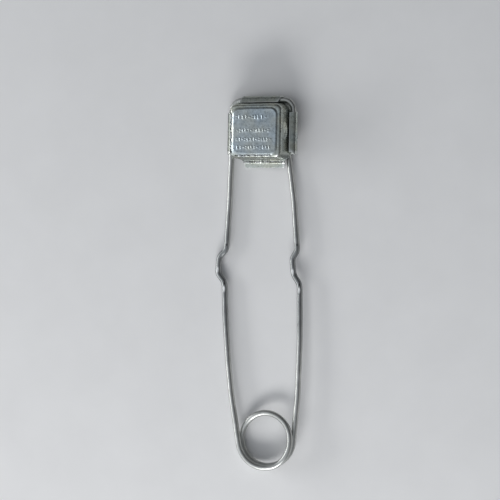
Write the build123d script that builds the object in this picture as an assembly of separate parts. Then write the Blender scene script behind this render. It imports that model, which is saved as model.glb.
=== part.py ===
from build123d import *
import os
import math

# Flint spark lighter (single-flint striker): a one-piece spring wire handle, a
# folded sheet-steel cup with a file plate inside, and a screw-on flint renewal.
#
# It is designed in the plane of its wire: coil axis at X = Y = 0, +Y from the
# coil towards the cup, +Z out of the closed face of the cup, Z = 0 on the
# centreline of the striker arm. At the end every piece is moved together into
# the pose in which the lighter lies on a bench, cup face up.

os.makedirs("parts", exist_ok=True)

# ---------------------------------------------------------------- dimensions
# spring wire
wire_d = 3.05
coil_pitch = 3.30
coil_arcs = 18
coil_start_deg = 189.6          # front turn, at the fixed leg
coil_end_deg = 715.1            # rear turn, at the striker arm
coil_radii = [(189.6, 14.40), (240.0, 14.70), (280.0, 14.60), (360.0, 13.60),
              (450.0, 13.85), (540.0, 13.60), (630.0, 13.85), (715.1, 14.30)]
loop_z = 5.70                   # height of the wire loop round the cup
loop_cx = -3.66                 # centre line of the cup
loop_half = 17.04               # wire centreline to cup centre line
loop_top_y = 176.35
loop_corner_r = 5.3
loop_end_y = 148.4
# fixed leg, seen from the face side: (x, y, bend radius)
fixed_leg = [(-18.75, 23.2, 70.0), (-20.80, 40.6, 90.0), (-22.60, 62.5, 110.0),
             (-23.50, 81.5, 5.0), (-27.35, 85.8, 3.6), (-26.50, 95.0, 3.2),
             (-22.70, 97.95, 4.2), (-21.28, 124.1, 120.0), (-20.70, 146.8, 60.0)]
# striker arm, at Z = 0
striker_leg = [(16.25, 22.0, 90.0), (16.95, 52.0, 120.0), (16.35, 80.9, 5.0),
               (12.95, 85.8, 3.6), (12.00, 94.4, 3.2), (14.75, 98.2, 4.2),
               (12.40, 124.4, 110.0), (9.45, 144.75, 60.0)]
stud_xy = (6.80, 161.30)
stud_bend_r = 3.6
wire_end_z = 4.00
stud_d = 2.80
stud_top_z = 7.40
# screw-on flint renewal
holder_z = 4.10
collar_d, collar_l = 3.95, 3.00
ferrule_d, ferrule_l = 3.40, 4.30
thread_bore_d, thread_depth = 2.94, 3.70
flint_d = 2.80
flint_seat_z = 8.40
# cup
sheet = 0.60
cup_cx, cup_cy = loop_cx, 159.62
rim_hx, rim_hy = 15.445, 15.13
rim_z = 3.50
face_z = 17.00
wall_draft = 5.0
rim_corner_r = 4.9
face_edge_r = 1.8
panel_c = (-4.10, 158.95)
panel_w, panel_h, panel_r = 25.0, 24.7, 3.6
panel_rise = 0.65
rim_lip = 0.90                  # flare left at the corners between the tabs
curl_in = 1.60                  # inside radius of the curled tabs
curl_end_deg = 128.0
side_tab_y = (147.6, 170.1)
top_tab_x = (-15.0, 7.95)
low_tab_x = (-14.7, 7.95)
low_tab_reach = 3.45
# lances that hold the file plate
lance_y = 159.9
lance_half = 5.0
lance_in = 1.65
lance_z = 14.70
# file plate
file_w, file_h, file_t = 25.6, 25.0, 1.50
file_back_z = 14.85
flint_gap = 0.07
# resting pose: lean about the long axis, dip towards the cup
lean_deg = 9.815
dip_deg = -0.734

wr = wire_d / 2


# ---------------------------------------------------------------------- wire
def coil_radius(a):
    for (a0, r0), (a1, r1) in zip(coil_radii, coil_radii[1:]):
        if a <= a1:
            t = (a - a0) / (a1 - a0)
            t = t * t * (3 - 2 * t)
            return r0 + (r1 - r0) * t
    return coil_radii[-1][1]


step = (coil_end_deg - coil_start_deg) / coil_arcs
coil_top_z = (coil_end_deg - coil_start_deg) / 360.0 * coil_pitch


def coil_z(a):
    return (coil_end_deg - a) / 360.0 * coil_pitch


coil_pts = []
for k in range(coil_arcs):
    a = coil_start_deg + (k + 0.5) * step
    rv = coil_radius(a) / math.cos(math.radians(step / 2))
    coil_pts.append((rv * math.cos(math.radians(a)), rv * math.sin(math.radians(a)), coil_z(a)))


def lerp(p, q, t):
    return tuple(p[i] + (q[i] - p[i]) * t for i in range(3))


def leg_z(y):
    return coil_top_z + (loop_z - coil_top_z) * max(0.0, min(1.0, y / 146.8))


fixed_pts = [(x, y, leg_z(y)) for x, y, r in fixed_leg]
striker_pts = [(x, y, 0.0) for x, y, r in striker_leg]

# the wire is cut into handle, coil and arm just outside the coil, square to it
left_join = lerp(coil_pts[0], fixed_pts[0], 0.20)
right_join = lerp(coil_pts[-1], striker_pts[0], 0.20)


def tube(pts, radii, d):
    path = FilletPolyline(*pts, radius=radii)
    prof = Plane(origin=path @ 0, z_dir=path % 0) * Circle(d / 2)
    return sweep(prof, path=path)


coil_fillets = [0.95 * coil_radius(coil_start_deg + (k + 0.5) * step) for k in range(coil_arcs)]
coil_fillets[0] *= 0.97
spring_coil = tube([left_join] + coil_pts + [right_join], coil_fillets, wire_d)

fixed_arm = tube(
    [left_join] + fixed_pts
    + [(loop_cx - loop_half, loop_top_y, loop_z), (loop_cx + loop_half, loop_top_y, loop_z),
       (loop_cx + loop_half, loop_end_y, loop_z)],
    [r for x, y, r in fixed_leg] + [loop_corner_r, loop_corner_r], wire_d)

striker_arm = tube(
    [right_join] + striker_pts + [(stud_xy[0], stud_xy[1], 0.0), (stud_xy[0], stud_xy[1], wire_end_z)],
    [r for x, y, r in striker_leg] + [stud_bend_r], wire_d)
stud = Pos(stud_xy[0], stud_xy[1], wire_end_z) * Cylinder(
    stud_d / 2, stud_top_z - wire_end_z, align=(Align.CENTER, Align.CENTER, Align.MIN))
stud = chamfer(stud.edges().group_by(Axis.Z)[-1], 0.35)
striker_arm = striker_arm + stud

# ------------------------------------------------------------- flint renewal
zc = (Align.CENTER, Align.CENTER, Align.MIN)
collar = Pos(*stud_xy, holder_z) * Cylinder(collar_d / 2, collar_l, align=zc)
collar = chamfer(collar.edges().group_by(Axis.Z)[-1] + collar.edges().group_by(Axis.Z)[0], 0.22)
ferrule = Pos(*stud_xy, holder_z + collar_l - 0.3) * Cylinder(ferrule_d / 2, ferrule_l + 0.3, align=zc)
ferrule = chamfer(ferrule.edges().group_by(Axis.Z)[-1], 0.12)
flint_holder = collar + ferrule
flint_holder -= Pos(*stud_xy, holder_z - 0.5) * Cylinder(thread_bore_d / 2, thread_depth + 0.5, align=zc)
flint_holder -= Pos(*stud_xy, flint_seat_z) * Cylinder(flint_d / 2, 10.0, align=zc)

flint = Pos(*stud_xy, flint_seat_z) * Cylinder(
    flint_d / 2, file_back_z - flint_gap - flint_seat_z, align=zc)
flint = chamfer(flint.edges().group_by(Axis.Z)[-1], 0.18)

# ------------------------------------------------------------------- the cup
tan_d = math.tan(math.radians(wall_draft))
skin = sheet / math.cos(math.radians(wall_draft))


def drawn_box(inset, z_top, edge_r, r):
    base = Pos(cup_cx, cup_cy, rim_z) * RectangleRounded(
        2 * (rim_hx - inset), 2 * (rim_hy - inset), r)
    body = extrude(base, amount=z_top - rim_z, taper=wall_draft)
    return fillet(body.edges().group_by(Axis.Z)[-1], edge_r)


def raised(w, h, r, z0, rise):
    base = Pos(panel_c[0], panel_c[1], z0) * RectangleRounded(w, h, r)
    return extrude(base, amount=rise, taper=45)


outer = drawn_box(0.0, face_z, face_edge_r, rim_corner_r)
panel = raised(panel_w, panel_h, panel_r, face_z - 0.02, panel_rise + 0.02)
outer = outer + panel
inner = drawn_box(skin, face_z - sheet, face_edge_r - sheet, rim_corner_r - skin)
pocket = raised(panel_w - 0.5, panel_h - 0.5, panel_r - 0.25, face_z - sheet - 0.02, panel_rise + 0.02)
inner = inner + pocket

# a narrow flare runs right round the mouth; the four tabs grow out of it
lip = Pos(cup_cx, cup_cy, rim_z) * extrude(
    RectangleRounded(2 * (rim_hx + rim_lip), 2 * (rim_hy + rim_lip), rim_corner_r + rim_lip), amount=sheet)


def curled_tab(length):
    # section in (u outwards, v = height), wire centre at u = 0, v = 0
    ro = curl_in + sheet
    a0, a1 = -90.0, curl_end_deg
    rm = (curl_in + ro) / 2

    def p(r, a):
        return (r * math.cos(math.radians(a)), r * math.sin(math.radians(a)))
    outer_arc = ThreePointArc(p(ro, a0), p(ro, (a0 + a1) / 2), p(ro, a1))
    end_line = Line(p(ro, a1), p(curl_in, a1))
    inner_arc = ThreePointArc(p(curl_in, a1), p(curl_in, (a0 + a1) / 2), p(curl_in, a0))
    back = Polyline(p(curl_in, a0), (-1.9, -curl_in), (-1.9, -ro), p(ro, a0))
    sec = make_face(outer_arc + end_line + inner_arc + back)
    sec = Plane.XZ * sec
    t = extrude(sec, amount=length / 2, both=True)
    # ends cut on the slant over the top of the curl
    for s in (1, -1):
        wedge = make_face(Polyline((2.6, s * (length / 2 + 0.01)), (-2.4, s * (length / 2 + 0.01)),
                                   (-2.4, s * (length / 2 - 2.3)), (2.6, s * (length / 2 + 0.01))))
        t -= Pos(0, 0, 0.2) * extrude(wedge, amount=4.0)
    return t


side_len = side_tab_y[1] - side_tab_y[0]
side_mid = sum(side_tab_y) / 2
right_tab = Pos(loop_cx + loop_half, side_mid, loop_z) * curled_tab(side_len)
left_tab = Pos(loop_cx - loop_half, side_mid, loop_z) * Rot(0, 0, 180) * curled_tab(side_len)
top_tab = Pos(sum(top_tab_x) / 2, loop_top_y, loop_z) * Rot(0, 0, 90) * curled_tab(top_tab_x[1] - top_tab_x[0])

# lower tab: nothing to clip, so it is only turned out and rolled back a little
bend = 38.0
rm = 2.0
u0, u1 = rim_hy - 0.3, rim_hy + 1.15


def q(r, a):
    return (u1 + r * math.sin(math.radians(a)), rim_z + sheet / 2 - rm + r * math.cos(math.radians(a)))


ri, ro = rm - sheet / 2, rm + sheet / 2
slope = (math.cos(math.radians(bend)), -math.sin(math.radians(bend)))
run = (low_tab_reach - 1.15 - rm * math.sin(math.radians(bend))) / slope[0]
e_o, e_i = q(ro, bend), q(ri, bend)
low_sec = make_face(
    Line((u0, rim_z + sheet), q(ro, 0))
    + ThreePointArc(q(ro, 0), q(ro, bend / 2), e_o)
    + Polyline(e_o, (e_o[0] + run * slope[0], e_o[1] + run * slope[1]),
               (e_i[0] + run * slope[0], e_i[1] + run * slope[1]), e_i)
    + ThreePointArc(e_i, q(ri, bend / 2), q(ri, 0))
    + Polyline(q(ri, 0), (u0, rim_z), (u0, rim_z + sheet)))
low_len = low_tab_x[1] - low_tab_x[0]
low_tab = extrude(Plane.XZ * low_sec, amount=low_len / 2, both=True)
blank = Pos(rim_hy - 1.0, 0, 0) * RectangleRounded(2 * (low_tab_reach + 1.0 + 0.2), low_len, 2.6)
low_tab = low_tab & extrude(blank, amount=12, both=True)
low_tab = Pos(sum(low_tab_x) / 2, cup_cy, 0) * Rot(0, 0, -90) * low_tab

shell = outer + lip + right_tab + left_tab + top_tab + low_tab
shell = shell - inner

# half-dome lances pushed in through both side walls, open towards the face
ball = (lance_half ** 2 + lance_in ** 2) / (2 * lance_in)
c_off = ball - lance_in
keep = Pos(0, 0, -10) * Box(40, 40, 20)
bump = (Pos(c_off, 0, 0) * Sphere(ball)) & (Pos(-5, 0, 0) * Box(10, 40, 20)) & keep
dent = (Pos(c_off, 0, 0) * Sphere(ball - sheet)) & keep
for s in (1, -1):
    wall_x = cup_cx + s * (rim_hx - (lance_z - rim_z) * tan_d)
    place = Pos(wall_x, lance_y, lance_z) * Rot(0, 0, 0 if s > 0 else 180) * Rot(0, -wall_draft, 0)
    shell = shell + place * bump
    shell = shell - place * dent
cup = shell

# ---------------------------------------------------------------- file plate
file_plate = Pos(cup_cx, cup_cy - 0.1, file_back_z) * extrude(RectangleRounded(file_w, file_h, 3.2), amount=file_t)
file_plate = chamfer(file_plate.edges().group_by(Axis.Z)[-1], 0.5)

# ------------------------------------------------------------- resting frame
nodes = {
    "fixed_arm": fixed_arm,
    "spring_coil": spring_coil,
    "striker_arm": striker_arm,
    "flint_cup": cup,
    "file_plate": file_plate,
    "flint_holder": flint_holder,
    "flint": flint,
}
t, b = math.radians(lean_deg), math.radians(dip_deg)
x_dir = (math.cos(t), -math.sin(b) * math.sin(t), math.cos(b) * math.sin(t))
z_dir = (-math.sin(t), -math.sin(b) * math.cos(t), math.cos(b) * math.cos(t))
turn = Plane(origin=(0, 0, 0), x_dir=x_dir, z_dir=z_dir).location
turned = {n: turn * s for n, s in nodes.items()}
box = Compound(children=[Compound(s.solids()) for s in turned.values()]).bounding_box(optimal=True)
shift = (-(box.min.X + box.max.X) / 2, -(box.min.Y + box.max.Y) / 2, -box.min.Z)
print("rest x_dir", x_dir, "z_dir", z_dir, "shift", shift)
print("box", box.min, box.max)

for name, shape in turned.items():
    part = Pos(*shift) * shape
    solids = part.solids()
    print(name, "solids", len(solids), "volume", sum(s.volume for s in solids), "valid", part.is_valid)
    out = solids[0] if len(solids) == 1 else Compound(children=solids)
    export_step(out, "parts/" + name + ".step")
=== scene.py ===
import math
import random

import bmesh
import bpy
from mathutils import Matrix, Vector, noise


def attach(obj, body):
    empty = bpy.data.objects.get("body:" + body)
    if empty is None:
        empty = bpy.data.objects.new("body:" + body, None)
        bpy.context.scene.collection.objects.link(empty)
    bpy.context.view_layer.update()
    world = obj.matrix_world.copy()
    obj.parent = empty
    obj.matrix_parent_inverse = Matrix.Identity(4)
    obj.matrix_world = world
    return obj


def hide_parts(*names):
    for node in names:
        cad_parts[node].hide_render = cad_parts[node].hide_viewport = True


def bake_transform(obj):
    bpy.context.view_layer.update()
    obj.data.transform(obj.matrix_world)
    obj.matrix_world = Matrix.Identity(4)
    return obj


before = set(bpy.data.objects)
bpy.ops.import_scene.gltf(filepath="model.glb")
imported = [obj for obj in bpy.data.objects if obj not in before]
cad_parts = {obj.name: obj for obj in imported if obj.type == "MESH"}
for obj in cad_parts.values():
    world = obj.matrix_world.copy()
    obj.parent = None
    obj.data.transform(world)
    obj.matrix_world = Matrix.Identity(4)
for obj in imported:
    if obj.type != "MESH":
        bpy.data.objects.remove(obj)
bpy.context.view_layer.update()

# --------------------------------------------------------------------------
# design frame: the wire's own plane, in millimetres, as in the CAD model.
# W() takes a point from it to the resting frame, in metres.
X_DIR = Vector((0.9853633039719237, 0.0021837507666023675, 0.17045348461713392))
Z_DIR = Vector((-0.1704674725146535, 0.01262286487086597, 0.9852824488931676))
Y_DIR = Z_DIR.cross(X_DIR)
SHIFT = Vector((5.529774800208468, -81.26168435785696, 2.2952145865451348))
MM = 0.001


def W(p):
    p = Vector(p)
    return (X_DIR * p.x + Y_DIR * p.y + Z_DIR * p.z + SHIFT) * MM


WIRE_R = 1.525
PITCH = 3.30
COIL_A0, COIL_A1 = 189.6, 715.1
COIL_RADII = [(189.6, 14.40), (240.0, 14.70), (280.0, 14.60), (360.0, 13.60),
              (450.0, 13.85), (540.0, 13.60), (630.0, 13.85), (715.1, 14.30)]
LOOP_Z, LOOP_CX, LOOP_HALF, LOOP_TOP = 5.70, -3.66, 17.04, 176.35
FIXED_LEG = [(-18.75, 23.2, 70.0), (-20.80, 40.6, 90.0), (-22.60, 62.5, 110.0),
             (-23.50, 81.5, 5.0), (-27.35, 85.8, 3.6), (-26.50, 95.0, 3.2),
             (-22.70, 97.95, 4.2), (-21.28, 124.1, 120.0), (-20.70, 146.8, 60.0)]
STRIKER_LEG = [(16.25, 22.0, 90.0), (16.95, 52.0, 120.0), (16.35, 80.9, 5.0),
               (12.95, 85.8, 3.6), (12.00, 94.4, 3.2), (14.75, 98.2, 4.2),
               (12.40, 124.4, 110.0), (9.45, 144.75, 60.0)]
STUD = (6.80, 161.30)
CUP_CX, CUP_CY = LOOP_CX, 159.62
RIM_HX, RIM_HY, RIM_Z, FACE_Z = 15.445, 15.13, 3.50, 17.00
SHEET = 0.60
TAN_D = math.tan(math.radians(5.0))
FILE_BACK = 14.85

coll = bpy.context.scene.collection


# --------------------------------------------------------------------------
# mesh helpers
def smooth01(t):
    t = max(0.0, min(1.0, t))
    return t * t * (3 - 2 * t)


def make_object(name, verts, faces, attrs=None, smooth=True):
    """verts are in the design frame, mm. attrs: name -> list of 3-vectors, one a vertex."""
    me = bpy.data.meshes.new(name)
    me.from_pydata([tuple(W(v)) for v in verts], [], faces)
    me.validate()
    a = me.attributes.new("dmm", "FLOAT_VECTOR", "POINT")
    for i, v in enumerate(verts):
        a.data[i].vector = tuple(v)
    for key, vals in (attrs or {}).items():
        a = me.attributes.new(key, "FLOAT_VECTOR", "POINT")
        for i, v in enumerate(vals):
            a.data[i].vector = tuple(v)
    me.update()
    bm = bmesh.new()
    bm.from_mesh(me)
    bmesh.ops.recalc_face_normals(bm, faces=bm.faces)
    bm.to_mesh(me)
    bm.free()
    for p in me.polygons:
        p.use_smooth = smooth
    ob = bpy.data.objects.new(name, me)
    coll.objects.link(ob)
    return ob


def apply_modifiers(ob):
    dg = bpy.context.evaluated_depsgraph_get()
    me = bpy.data.meshes.new_from_object(ob.evaluated_get(dg), preserve_all_data_layers=True, depsgraph=dg)
    old = ob.data
    ob.modifiers.clear()
    ob.data = me
    me.name = ob.name
    bpy.data.meshes.remove(old)


def fillet_path(pts, radii, fine=0.5, coarse=2.0):
    """Centreline of a bent wire: straight runs joined by tangent arcs, sampled."""
    pts = [Vector(p) for p in pts]
    out = [pts[0]]
    cur = pts[0]

    def straight(a, b):
        n = max(1, int((b - a).length / coarse))
        for i in range(1, n + 1):
            out.append(a.lerp(b, i / n))
    for i in range(1, len(pts) - 1):
        p, r = pts[i], radii[i - 1]
        d0 = (p - pts[i - 1]).normalized()
        d1 = (pts[i + 1] - p).normalized()
        ang = d0.angle(d1)
        if ang < 1e-4:
            continue
        tl = r * math.tan(ang / 2)
        a, b = p - d0 * tl, p + d1 * tl
        straight(cur, a)
        c = p + (d1 - d0).normalized() * (r / math.cos(ang / 2))
        n = max(3, int(r * ang / fine))
        axis = d0.cross(d1).normalized()
        v0 = a - c
        for k in range(1, n + 1):
            out.append(c + Matrix.Rotation(ang * k / n, 3, axis) @ v0)
        cur = b
    straight(cur, pts[-1])
    clean = [out[0]]
    for p in out[1:]:
        if (p - clean[-1]).length > 1e-3:
            clean.append(p)
    return clean


def resample(path, step):
    L = [0.0]
    for a, b in zip(path, path[1:]):
        L.append(L[-1] + (b - a).length)
    n = max(2, int(round(L[-1] / step)))
    out, j = [], 0
    for i in range(n + 1):
        s = L[-1] * i / n
        while j < len(L) - 2 and L[j + 1] < s:
            j += 1
        t = (s - L[j]) / max(1e-9, L[j + 1] - L[j])
        out.append(path[j].lerp(path[j + 1], t))
    return out


def relax(path, rounds):
    for _ in range(rounds):
        q = [path[0]]
        for a, b, c in zip(path, path[1:], path[2:]):
            q.append(b * 0.5 + (a + c) * 0.25)
        q.append(path[-1])
        path = q
    return path


# --------------------------------------------------------------------------
# the one-piece spring wire, as one centreline from the loop's end to the stud
def coil_radius(a):
    for (a0, r0), (a1, r1) in zip(COIL_RADII, COIL_RADII[1:]):
        if a <= a1:
            t = (a - a0) / (a1 - a0)
            t = t * t * (3 - 2 * t)
            return r0 + (r1 - r0) * t
    return COIL_RADII[-1][1]


coil_top = (COIL_A1 - COIL_A0) / 360.0 * PITCH


def leg_z(y):
    return coil_top + (LOOP_Z - coil_top) * max(0.0, min(1.0, y / 146.8))


coil_line = []
n_coil = 210
for i in range(n_coil + 1):
    a = COIL_A0 + (COIL_A1 - COIL_A0) * i / n_coil
    r = coil_radius(a)
    coil_line.append(Vector((r * math.cos(math.radians(a)), r * math.sin(math.radians(a)),
                             (COIL_A1 - a) / 360.0 * PITCH)))

left = fillet_path([coil_line[0]] + [(x, y, leg_z(y)) for x, y, r in FIXED_LEG]
                   + [(LOOP_CX - LOOP_HALF, LOOP_TOP, LOOP_Z), (LOOP_CX + LOOP_HALF, LOOP_TOP, LOOP_Z),
                      (LOOP_CX + LOOP_HALF, 148.4, LOOP_Z)],
                   [r for x, y, r in FIXED_LEG] + [5.3, 5.3])
right = fillet_path([coil_line[-1]] + [(x, y, 0.0) for x, y, r in STRIKER_LEG]
                    + [(STUD[0], STUD[1], 0.0), (STUD[0], STUD[1], 4.00)],
                    [r for x, y, r in STRIKER_LEG] + [3.6])
whole = list(reversed(left)) + coil_line[1:-1] + right
whole = relax(resample(whole, 0.7), 3)


def nearest(path, p):
    p = Vector(p)
    return min(range(len(path)), key=lambda i: (path[i] - p).length)


# the three stretches of the wire meet a little outside the coil
j_left = nearest(whole, coil_line[0].lerp(Vector((FIXED_LEG[0][0], FIXED_LEG[0][1], leg_z(23.2))), 0.16))
j_right = nearest(whole, coil_line[-1].lerp(Vector((STRIKER_LEG[0][0], STRIKER_LEG[0][1], 0.0)), 0.16))

# parallel-transported section frames along the whole wire
tang = []
for i in range(len(whole)):
    a, b = whole[max(0, i - 1)], whole[min(len(whole) - 1, i + 1)]
    tang.append((b - a).normalized())
ups = []
up = Vector((0, 0, 1))
up = (up - tang[0] * up.dot(tang[0])).normalized()
for i, t in enumerate(tang):
    if i:
        up = (tang[i - 1].rotation_difference(t)) @ up
        up = (up - t * up.dot(t)).normalized()
    ups.append(up.copy())
arc = [0.0]
for a, b in zip(whole, whole[1:]):
    arc.append(arc[-1] + (b - a).length)
bend_at = [0.0] * len(whole)
for i in range(2, len(whole) - 2):
    bend_at[i] = tang[i - 2].angle(tang[i + 2]) / max(1e-6, arc[i + 2] - arc[i - 2])

SEG = 32
# small flats where the bending tool pressed the wire: design point, depth, half length
PRESSED = [((-23.4, 78.0, LOOP_Z), 0.16, 1.1), ((16.5, 78.0, 0.0), 0.16, 1.1), ((12.6, 87.4, 0.0), 0.14, 1.0),
           ((-27.0, 88.0, LOOP_Z), 0.12, 1.0), ((-22.5, 100.6, LOOP_Z), 0.10, 0.9), ((14.7, 100.6, 0.0), 0.10, 0.9)]
PRESSED = [(nearest(whole, Vector(p)), d, h) for p, d, h in PRESSED]
TOOL_SIDE = Vector((0.12, -0.25, 0.96)).normalized()


def on_wire(i, way):
    """The point of the straightened wire's surface at centreline point i, on the side `way`."""
    side = tang[i].cross(ups[i])
    f = math.atan2(way.dot(side), way.dot(ups[i]))
    return (math.cos(f) * WIRE_R, math.sin(f) * WIRE_R, arc[i])


# points on the pressed flats where near-white spots are painted on the wire: painted highlights
WIRE_GLINT_SPOTS = [on_wire(i, TOOL_SIDE) for i, d, h in PRESSED[:4]]
# points beside the pressed flats where small near-black spots are set in the wire's colour
DARK_WIRE_DOTS = [on_wire(nearest(whole, Vector(p)), Vector((0.3, 0.0, 0.95)))
         for p in ((-22.4, 101.2, LOOP_Z), (14.5, 101.0, 0.0), (16.6, 80.4, 0.0), (-23.0, 80.6, LOOP_Z))]
# arc positions round which the wire's colour is darkened: painted shade
WIRE_SHADE_CENTRES = [arc[nearest(whole, Vector(p))] for p in ((-23.5, 81.0, LOOP_Z), (16.3, 80.0, 0.0))]
PRESSED = [(arc[i], d, h) for i, d, h in PRESSED]


def wire_piece(name, i0, i1, cut_start=False, tuck=0, stud=False):
    """tuck: rings carried on, a little smaller, inside the neighbour before i0."""
    verts, faces, straightened = [], [], []
    rings = []
    idx = list(range(i0, i1 + 1))

    def ring(p, t, u, s, k=1.0, flat=0.0):
        side = t.cross(u)
        base = len(verts)
        for j in range(SEG):
            f = 2 * math.pi * j / SEG
            c, d = math.cos(f), math.sin(f)
            n = noise.noise(Vector((c * 1.4, d * 1.4, s * 0.11))) * 0.012
            rr = (WIRE_R + n) * k
            for s0, depth, half in PRESSED:
                if abs(s - s0) < 3 * half:
                    face = max(0.0, (u * c + side * d).dot(TOOL_SIDE))
                    rr -= depth * math.exp(-((s - s0) / half) ** 2) * smooth01((face - 0.80) / 0.20)
            verts.append(p + u * (c * rr) + side * (d * rr))
            straightened.append((c * WIRE_R * max(k, 0.05), d * WIRE_R * max(k, 0.05), s))
        rings.append(base)

    if cut_start:
        p, t, u, s = whole[i0], tang[i0], ups[i0], arc[i0]
        for back, k in ((0.0, 0.42), (0.0, 0.80), (0.05, 0.90), (0.16, 0.97)):
            ring(p + t * back, t, u, s + back, k)
        idx = idx[1:]
    for i in range(i0 - tuck, i0):
        ring(whole[i], tang[i], ups[i], arc[i], 0.985 if i > i0 - tuck else 0.93)
    for i in idx:
        ring(whole[i], tang[i], ups[i], arc[i])
    if stud:
        # turned down and threaded for the screw-on renewal
        p, s = whole[i1], arc[i1]
        t, u = Vector((0, 0, 1)), (ups[i1] - Vector((0, 0, 1)) * ups[i1].z).normalized()
        ring(p + t * 0.02, t, u, s, 0.97)
        ring(p + t * 0.05, t, u, s, 1.36 / WIRE_R)
        z = 0.12
        while p.z + z < 7.0:
            for dz, r in ((0.0, 1.28), (0.18, 1.40), (0.26, 1.40), (0.44, 1.28)):
                ring(p + t * (z + dz), t, u, s + z, r / WIRE_R)
            z += 0.50
        ring(p + t * (z + 0.05), t, u, s + z, 1.20 / WIRE_R)
        ring(p + t * (z + 0.25), t, u, s + z, 1.02 / WIRE_R)
    for a, b in zip(rings, rings[1:]):
        for j in range(SEG):
            k = (j + 1) % SEG
            faces.append((a + j, a + k, b + k, b + j))
    if cut_start:
        faces.append(tuple(reversed(range(rings[0], rings[0] + SEG))))
    if stud:
        faces.append(tuple(range(rings[-1], rings[-1] + SEG)))
    if tuck:
        faces.append(tuple(reversed(range(rings[0], rings[0] + SEG))))
    return make_object(name, verts, faces, {"straight": straightened})


wire_fixed = wire_piece("wire_fixed_arm", 0, j_left, cut_start=True)
wire_coil = wire_piece("wire_coil", j_left, j_right)
wire_striker = wire_piece("wire_striker_arm", j_right, len(whole) - 1, tuck=5, stud=True)


# --------------------------------------------------------------------------
# the pressed cup: one sheet, from the raised panel over the walls to the tabs
def smin(a, b, k):
    h = max(0.0, min(1.0, 0.5 + 0.5 * (b - a) / k))
    return b + (a - b) * h - k * h * (1 - h)


def smax(a, b, k):
    return -smin(-a, -b, k)


CORE_X, CORE_Y = RIM_HX - 4.9, RIM_HY - 4.9        # core rectangle of the outline
PAN_CX, PAN_CY, PAN_HX, PAN_HY, PAN_R = -4.10, 159.24, 12.9, 12.56, 4.2
RISE, SLOPE_NARROW, SLOPE_WIDE = 0.56, 1.05, 1.95
SIDE_TAB = (147.6, 170.1)
TOP_TAB = (-15.0, 7.95)
LOW_TAB = (-14.7, 7.95)
FLARE_R = 4.9 + 0.9


def spaced(a, b, n):
    return [a + (b - a) * i / n for i in range(n + 1)]


N_STRAIGHT, N_CORNER = 96, 12       # even counts, so that a grid can close the panel
# corner angles, with the tabs' own edges among them
def corner_angles(marks):
    """Equal spans over 90 degrees, with the marked angles put exactly on a division."""
    base = spaced(0.0, 90.0, N_CORNER)
    for m in marks:
        i = min(range(1, N_CORNER), key=lambda k: abs(base[k] - m))
        base[i] = m
    return base


def ang_of(v):
    return math.degrees(math.asin(max(-1.0, min(1.0, v / FLARE_R))))


# loop of (core x sign, core y sign, fraction along, outward direction)
loop = []   # each: (cx_frac, cy_frac, dx, dy) with the core point = (CORE_X*cx_frac, CORE_Y*cy_frac)


def add_side(f0, f1, d):
    for i in range(N_STRAIGHT):
        t = i / N_STRAIGHT
        loop.append((f0[0] + (f1[0] - f0[0]) * t, f0[1] + (f1[1] - f0[1]) * t, d[0], d[1]))


def add_corner(f, start, marks):
    for a in corner_angles(marks)[:-1]:
        r = math.radians(start + a)
        loop.append((f[0], f[1], math.cos(r), math.sin(r)))


# right side going up, then round anticlockwise
r_top = ang_of(SIDE_TAB[1] - (CUP_CY + CORE_Y))           # angle of the side tab's upper edge
r_low = ang_of((CUP_CY - CORE_Y) - SIDE_TAB[0])
t_left = ang_of((CUP_CX - CORE_X) - TOP_TAB[0])
t_right = ang_of(TOP_TAB[1] - (CUP_CX + CORE_X))
l_left = ang_of((CUP_CX - CORE_X) - LOW_TAB[0])
l_right = ang_of(LOW_TAB[1] - (CUP_CX + CORE_X))
add_side((1, -1), (1, 1), (1, 0))
add_corner((1, 1), 0, [r_top, 90 - t_right])
add_side((1, 1), (-1, 1), (0, 1))
add_corner((-1, 1), 90, [t_left, 90 - r_top])
add_side((-1, 1), (-1, -1), (-1, 0))
add_corner((-1, -1), 180, [r_low, 90 - l_left])
add_side((-1, -1), (1, -1), (0, -1))
add_corner((1, -1), 270, [l_right, 90 - r_low])
NL = len(loop)


def ring_xy(j, off, mix=0.0, boff=0.0):
    """Point j of the outline at `off` from the cup's core, mixed with the panel's own outline."""
    fx, fy, dx, dy = loop[j]
    ax = CUP_CX + CORE_X * fx + dx * off
    ay = CUP_CY + CORE_Y * fy + dy * off
    if mix <= 0:
        return ax, ay
    bx = PAN_CX + (PAN_HX - PAN_R) * fx + dx * (PAN_R - boff)
    by = PAN_CY + (PAN_HY - PAN_R) * fy + dy * (PAN_R - boff)
    return ax + (bx - ax) * mix, ay + (by - ay) * mix


FIL = 1.8
O_C = 4.9 - FIL / math.cos(math.radians(5)) - (FACE_Z - FIL - RIM_Z) * TAN_D


def base_height(x, y):
    qx, qy = abs(x - CUP_CX) - CORE_X, abs(y - CUP_CY) - CORE_Y
    o = math.hypot(max(qx, 0), max(qy, 0)) + min(max(qx, qy), 0)
    if o <= O_C:
        return FACE_Z
    return FACE_Z - FIL + math.sqrt(max(0.0, FIL ** 2 - (o - O_C) ** 2))


# relief on the panel: rows of short raised bars and dots, pressed from behind.
# They stand for pressed marks in general and carry no letters.
rng = random.Random(41)
BARS = []   # (centre x, centre y, half width, half height, height)


def mark_row(y, x0, x1, tall, pitch):
    x, i = x0, 0
    while x < x1:
        kind = (i * 7 + int(y)) % 5
        up = rng.uniform(0.8, 1.15)
        dy = rng.uniform(-0.08, 0.08)
        if kind in (0, 3):
            BARS.append((x, y + dy, 0.24, tall, up))
            BARS.append((x + 0.62, y + dy - tall * 0.45, 0.24, tall * 0.5, up * 0.9))
        elif kind == 1:
            BARS.append((x + 0.25, y + dy + tall * 0.55, 0.5, 0.24, up))
            BARS.append((x + 0.25, y + dy - tall * 0.55, 0.5, 0.24, up))
        elif kind == 2:
            BARS.append((x + 0.2, y + dy, 0.24, tall, up))
        else:
            BARS.append((x + 0.3, y + dy, 0.46, 0.30, up))
        x += pitch * rng.uniform(0.9, 1.12)
        i += 1


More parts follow.
